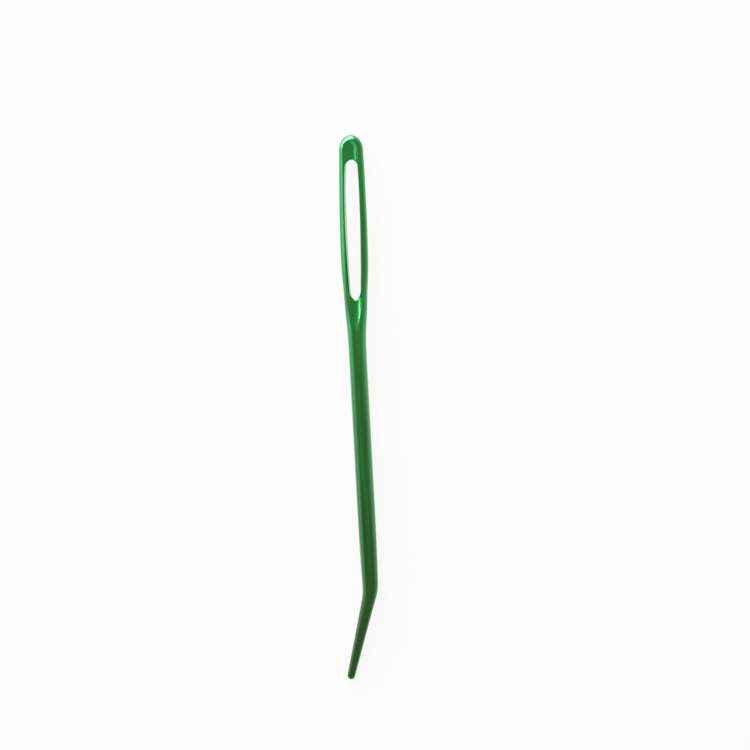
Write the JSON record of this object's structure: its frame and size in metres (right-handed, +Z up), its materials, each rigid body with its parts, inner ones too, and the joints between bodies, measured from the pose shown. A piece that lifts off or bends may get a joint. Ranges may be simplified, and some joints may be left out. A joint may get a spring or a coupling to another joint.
{
  "type": "yarn needle",
  "caption": "Blunt bent-point yarn needle of green anodised aluminium wire, with a pressed head, a long eye and threading grooves.",
  "frame": {"origin": "on the table, under the middle of the needle's bounding box, with the needle lying at rest on its shank and its point", "axes": "+Y along the needle from the point to the crown above the eye, +Z up from the table, +X across the needle, towards the side that the bend's outer corner is on. The needle is rolled 11.8 degrees about its shank, because the thinner point rests on the table too, so the way through the eye leans that much from +Z towards -X."},
  "size_m": [0.005, 0.07, 0.0023],
  "materials": {
    "anodised_aluminium": "bright green anodised, polished"
  },
  "bodies": {
    "root": {"head": "anodised_aluminium", "shank": "anodised_aluminium"}
  },
  "joints": []
}
